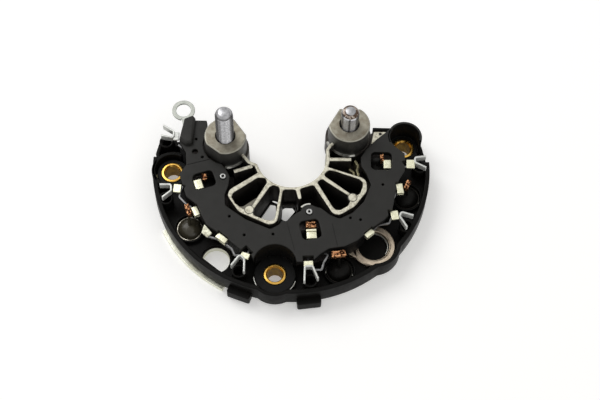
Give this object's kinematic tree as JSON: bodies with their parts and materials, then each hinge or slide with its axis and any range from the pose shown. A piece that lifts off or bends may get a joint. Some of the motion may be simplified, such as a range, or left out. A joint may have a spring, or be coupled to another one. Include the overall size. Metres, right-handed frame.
{
  "type": "alternator rectifier",
  "caption": "Horseshoe bridge rectifier of an alternator: two heat sinks, moulded frame and terminal carrier, diodes, phase bars with stator clips, output studs and brass bushes",
  "frame": {"origin": "under the middle of the part's outline, on the plane that its lower heat sink rests on; the alternator's shaft axis stands 17.6 mm behind it", "axes": "+Z out of the alternator, along the studs; +Y to the open side of the horseshoe; +X to the right, towards the shorter stud"},
  "size_m": [0.1258, 0.0964, 0.0495],
  "materials": {
    "cast_aluminium": "as cast, rough",
    "sheet_aluminium": "rolled, satin",
    "black_moulding": "moulded, matte",
    "glossy_moulding": "moulded, semi-gloss",
    "brass": "turned",
    "zinc": "zinc plated",
    "tinned": "tinned",
    "diode_case": "dark coated"
  },
  "bodies": {
    "root": {"battery_stud": "zinc", "bush_sleeve_front": "glossy_moulding", "bush_sleeve_left": "glossy_moulding", "bush_sleeve_right": "glossy_moulding", "carrier_rivet_front": "zinc", "carrier_rivet_left": "zinc", "insulator_frame": "glossy_moulding", "mounting_bush_front": "brass", "mounting_bush_left": "brass", "mounting_bush_right": "brass", "negative_diode_front": "diode_case", "negative_diode_left": "diode_case", "negative_diode_right": "diode_case", "negative_heat_sink": "sheet_aluminium", "phase_bar_front": "tinned", "phase_bar_left": "tinned", "phase_bar_right": "tinned", "positive_diode_front": "diode_case", "positive_diode_left": "diode_case", "positive_diode_right": "diode_case", "positive_heat_sink": "cast_aluminium", "ring_terminal": "zinc", "short_stud": "zinc", "stator_clip_1": "tinned", "stator_clip_2": "tinned", "stator_clip_3": "tinned", "stator_clip_4": "tinned", "stator_clip_5": "tinned", "stator_clip_6": "tinned", "terminal_carrier": "black_moulding"}
  },
  "joints": []
}
